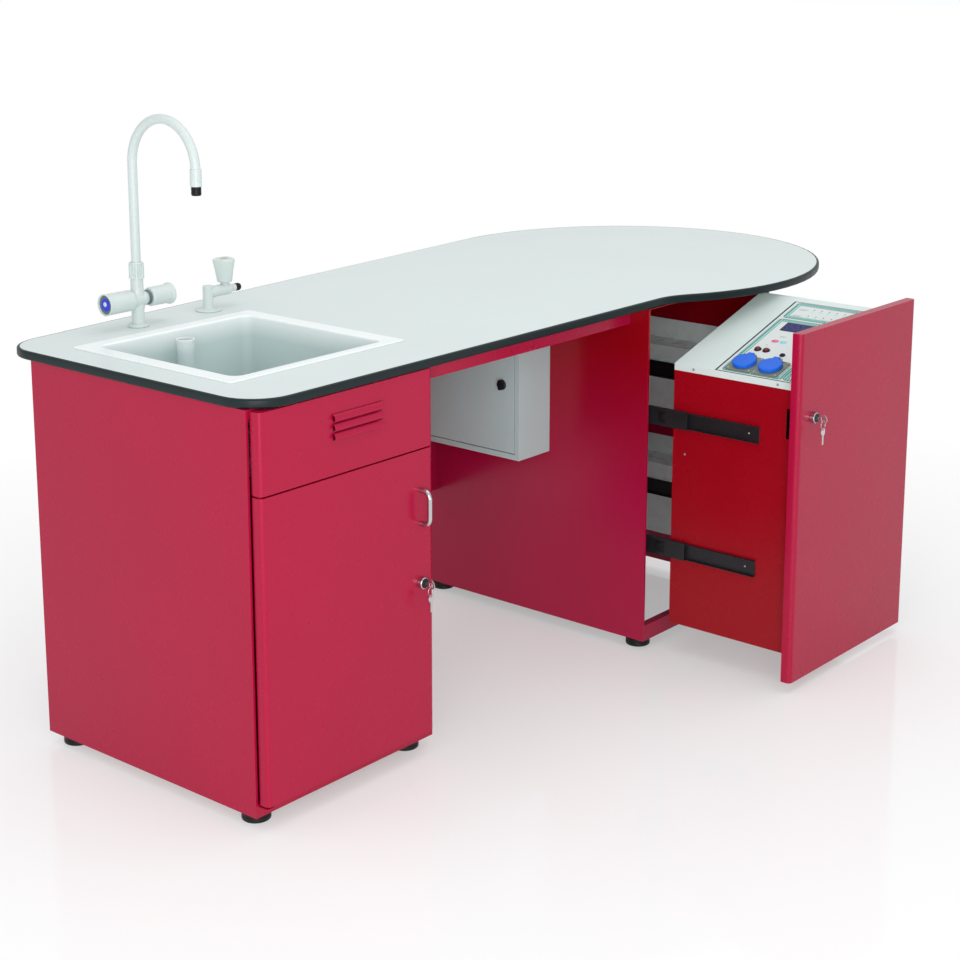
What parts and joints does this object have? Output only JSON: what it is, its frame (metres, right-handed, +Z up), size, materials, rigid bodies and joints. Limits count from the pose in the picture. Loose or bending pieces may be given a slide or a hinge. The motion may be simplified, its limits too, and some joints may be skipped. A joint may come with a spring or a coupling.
{
  "type": "laboratory table",
  "caption": "Laboratory table: red sink cabinet with taps, knee space, and a pull-out control tower with a sloped panel under a pale lobed worktop.",
  "frame": {"origin": "on the floor, under the middle of the table's bounding box", "axes": "+X along the table from the sink end to the round end, +Y from the front to the rear, +Z up"},
  "size_m": [2.139, 1.2974, 1.2838],
  "materials": {
    "laminate": "pale greenish-grey laminate, satin",
    "edge_band": "dark rounded edge band, satin",
    "red_paint": "glossy red powder coat on sheet steel",
    "sink_white": "white moulded plastic, glossy",
    "tap_white": "off-white chemical-resistant coating",
    "black_plastic": "black moulded plastic, satin",
    "white_plastic": "white moulded plastic, matt",
    "chrome": "bright chrome plate",
    "key_steel": "nickel-plated, lightly scratched",
    "slide_steel": "black-coated slide steel, lightly greased",
    "box_grey": "light grey powder coat, fine texture",
    "cover_grey": "pale grey powder coat, satin",
    "socket_olive": "olive-grey moulded plastic",
    "lid_blue": "blue moulded plastic, satin gloss",
    "button_red": "dark red moulded plastic, glossy",
    "zinc": "plain metal case, dull"
  },
  "bodies": {
    "frame": {"worktop_board": "laminate", "worktop_edge": "edge_band", "front_rail": "red_paint", "modesty_panel": "red_paint", "sink_bowl": "sink_white", "sink_waste": "white_plastic", "tap_body": "tap_white", "gas_tap_body": "tap_white", "gas_tap_nozzle": "black_plastic", "sink_cabinet": "red_paint", "vent_panel": "red_paint", "drawer_cabinet": "red_paint", "slide_outer_left_upper": "slide_steel", "slide_outer_left_lower": "slide_steel", "slide_outer_right_upper": "box_grey", "slide_outer_right_lower": "box_grey", "enclosure_box": "box_grey", "breaker_row": "white_plastic"},
    "door": {"door": "red_paint", "door_handle": "chrome", "door_lock_barrel": "chrome"},
    "door_key": {"door_key": "key_steel"},
    "door_key_ring": {"door_key_ring": "key_steel"},
    "tower": {"drawer_front": "red_paint", "drawer_body": "red_paint", "control_cover": "cover_grey", "power_unit": "zinc", "socket_base_1": "socket_olive", "socket_base_2": "socket_olive", "drawer_lock_barrel": "chrome", "slide_inner_left_upper": "slide_steel", "slide_inner_left_lower": "slide_steel", "slide_inner_right_upper": "slide_steel", "slide_inner_right_lower": "slide_steel"},
    "middle_left_upper": {"slide_middle_left_upper": "slide_steel"},
    "middle_left_lower": {"slide_middle_left_lower": "slide_steel"},
    "middle_right_upper": {"slide_middle_right_upper": "slide_steel"},
    "middle_right_lower": {"slide_middle_right_lower": "slide_steel"},
    "drawer_key": {"drawer_key": "key_steel"},
    "drawer_key_ring": {"drawer_key_ring": "key_steel"},
    "socket_lid_1": {"socket_lid_1": "lid_blue"},
    "socket_lid_2": {"socket_lid_2": "lid_blue"},
    "push_button_1": {"push_button_1": "button_red"},
    "push_button_2": {"push_button_2": "button_red"},
    "enclosure_door": {"enclosure_door": "box_grey"},
    "enclosure_knob": {"enclosure_knob": "black_plastic"},
    "spout": {"tap_spout": "tap_white", "tap_nozzle": "black_plastic"},
    "tap_knob_left": {"tap_knob_left": "tap_white"},
    "tap_knob_right": {"tap_knob_right": "tap_white"},
    "gas_tap_knob": {"gas_tap_knob": "tap_white"},
    "standpipe": {"sink_standpipe": "sink_white"},
    "sink_foot_front_left": {"sink_cabinet_foot_front_left": "black_plastic"},
    "sink_foot_front_right": {"sink_cabinet_foot_front_right": "black_plastic"},
    "sink_foot_rear_left": {"sink_cabinet_foot_rear_left": "black_plastic"},
    "sink_foot_rear_right": {"sink_cabinet_foot_rear_right": "black_plastic"},
    "drawer_foot_front_left": {"drawer_cabinet_foot_front_left": "black_plastic"},
    "drawer_foot_front_right": {"drawer_cabinet_foot_front_right": "black_plastic"},
    "drawer_foot_rear_left": {"drawer_cabinet_foot_rear_left": "black_plastic"},
    "drawer_foot_rear_right": {"drawer_cabinet_foot_rear_right": "black_plastic"}
  },
  "joints": [
    {"name": "door_swing", "type": "hinge", "parent": "frame", "child": "door", "pos_m": [-1.04549, -0.19925, 0.051], "axis": [0, 0, -1], "range_deg": [0, 110]},
    {"name": "door_key_turn", "type": "hinge", "parent": "door", "child": "door_key", "pos_m": [-0.62649, -0.21125, 0.379], "axis": [0, -1, 0], "range_deg": [0, 90]},
    {"name": "door_key_ring_swing", "type": "hinge", "parent": "door_key", "child": "door_key_ring", "pos_m": [-0.62649, -0.23925, 0.3752], "axis": [1, 0, 0], "range_deg": [-45, 20]},
    {"name": "tower_slide", "type": "slide", "parent": "frame", "child": "tower", "axis": [0, -1, 0], "range_m": [-0.367, 0]},
    {"name": "middle_left_upper_slide", "type": "slide", "parent": "frame", "child": "middle_left_upper", "axis": [0, -1, 0], "range_m": [-0.1835, 0]},
    {"name": "middle_left_lower_slide", "type": "slide", "parent": "frame", "child": "middle_left_lower", "axis": [0, -1, 0], "range_m": [-0.1835, 0]},
    {"name": "middle_right_upper_slide", "type": "slide", "parent": "frame", "child": "middle_right_upper", "axis": [0, -1, 0], "range_m": [-0.1835, 0]},
    {"name": "middle_right_lower_slide", "type": "slide", "parent": "frame", "child": "middle_right_lower", "axis": [0, -1, 0], "range_m": [-0.1835, 0]},
    {"name": "drawer_key_turn", "type": "hinge", "parent": "tower", "child": "drawer_key", "pos_m": [0.19051, -0.61125, 0.621], "axis": [0, 1, 0], "range_deg": [0, 90]},
    {"name": "drawer_key_ring_swing", "type": "hinge", "parent": "drawer_key", "child": "drawer_key_ring", "pos_m": [0.19051, -0.63925, 0.6172], "axis": [1, 0, 0], "range_deg": [-45, 20]},
    {"name": "socket_lid_1_hinge", "type": "hinge", "parent": "tower", "child": "socket_lid_1", "pos_m": [0.24293, -0.48865, 0.71914], "axis": [0, 1, 0], "range_deg": [0, 100], "stiffness_Nm_per_rad": 0.01, "springref_deg": -28.65},
    {"name": "socket_lid_2_hinge", "type": "hinge", "parent": "tower", "child": "socket_lid_2", "pos_m": [0.24293, -0.42225, 0.71914], "axis": [0, 1, 0], "range_deg": [0, 100], "stiffness_Nm_per_rad": 0.01, "springref_deg": -28.65},
    {"name": "push_button_1_travel", "type": "slide", "parent": "tower", "child": "push_button_1", "axis": [0.2924, 0, -0.9563], "range_m": [0, 0.003], "stiffness_N_per_m": 300, "springref_m": -0.002},
    {"name": "push_button_2_travel", "type": "slide", "parent": "tower", "child": "push_button_2", "axis": [0.2924, 0, -0.9563], "range_m": [0, 0.003], "stiffness_N_per_m": 300, "springref_m": -0.002},
    {"name": "enclosure_door_swing", "type": "hinge", "parent": "frame", "child": "enclosure_door", "pos_m": [0.02471, 0.39325, 0.449], "axis": [0, 0, -1], "range_deg": [0, 90]},
    {"name": "enclosure_knob_turn", "type": "hinge", "parent": "enclosure_door", "child": "enclosure_knob", "pos_m": [0.02121, 0.11275, 0.61], "axis": [-1, 0, 0], "range_deg": [0, 90]},
    {"name": "spout_swivel", "type": "hinge", "parent": "frame", "child": "spout", "pos_m": [-0.76949, 0.45275, 0.9423], "axis": [0, 0, 1], "range_deg": [-120, 120]},
    {"name": "tap_knob_left_turn", "type": "hinge", "parent": "frame", "child": "tap_knob_left", "pos_m": [-0.76949, 0.45275, 0.89], "axis": [-1, 0, 0], "range_deg": [0, 90]},
    {"name": "tap_knob_right_turn", "type": "hinge", "parent": "frame", "child": "tap_knob_right", "pos_m": [-0.76949, 0.45275, 0.89], "axis": [1, 0, 0], "range_deg": [0, 90]},
    {"name": "gas_tap_knob_turn", "type": "hinge", "parent": "frame", "child": "gas_tap_knob", "pos_m": [-0.51449, 0.46275, 0.8888], "axis": [0, 0, 1], "range_deg": [0, 90]},
    {"name": "standpipe_lift", "type": "slide", "parent": "frame", "child": "standpipe", "axis": [0, 0, 1], "range_m": [0, 0.12]},
    {"name": "sink_foot_front_left_turn", "type": "hinge", "parent": "frame", "child": "sink_foot_front_left", "pos_m": [-1.02149, -0.14225, 0], "axis": [0, 0, 1], "range_deg": [0, 360]},
    {"name": "sink_foot_front_right_turn", "type": "hinge", "parent": "frame", "child": "sink_foot_front_right", "pos_m": [-0.60249, -0.14225, 0], "axis": [0, 0, 1], "range_deg": [0, 360]},
    {"name": "sink_foot_rear_left_turn", "type": "hinge", "parent": "frame", "child": "sink_foot_rear_left", "pos_m": [-1.02149, 0.39375, 0], "axis": [0, 0, 1], "range_deg": [0, 360]},
    {"name": "sink_foot_rear_right_turn", "type": "hinge", "parent": "frame", "child": "sink_foot_rear_right", "pos_m": [-0.60249, 0.39375, 0], "axis": [0, 0, 1], "range_deg": [0, 360]},
    {"name": "drawer_foot_front_left_turn", "type": "hinge", "parent": "frame", "child": "drawer_foot_front_left", "pos_m": [0.17551, -0.17625, 0], "axis": [0, 0, 1], "range_deg": [0, 360]},
    {"name": "drawer_foot_front_right_turn", "type": "hinge", "parent": "frame", "child": "drawer_foot_front_right", "pos_m": [0.60551, -0.17625, 0], "axis": [0, 0, 1], "range_deg": [0, 360]},
    {"name": "drawer_foot_rear_left_turn", "type": "hinge", "parent": "frame", "child": "drawer_foot_rear_left", "pos_m": [0.17551, 0.43175, 0], "axis": [0, 0, 1], "range_deg": [0, 360]},
    {"name": "drawer_foot_rear_right_turn", "type": "hinge", "parent": "frame", "child": "drawer_foot_rear_right", "pos_m": [0.60551, 0.43175, 0], "axis": [0, 0, 1], "range_deg": [0, 360]}
  ],
  "couplings": [
    {"joint": "middle_left_upper_slide", "follows": "tower_slide", "ratio": 0.5},
    {"joint": "middle_left_lower_slide", "follows": "tower_slide", "ratio": 0.5},
    {"joint": "middle_right_upper_slide", "follows": "tower_slide", "ratio": 0.5},
    {"joint": "middle_right_lower_slide", "follows": "tower_slide", "ratio": 0.5}
  ]
}
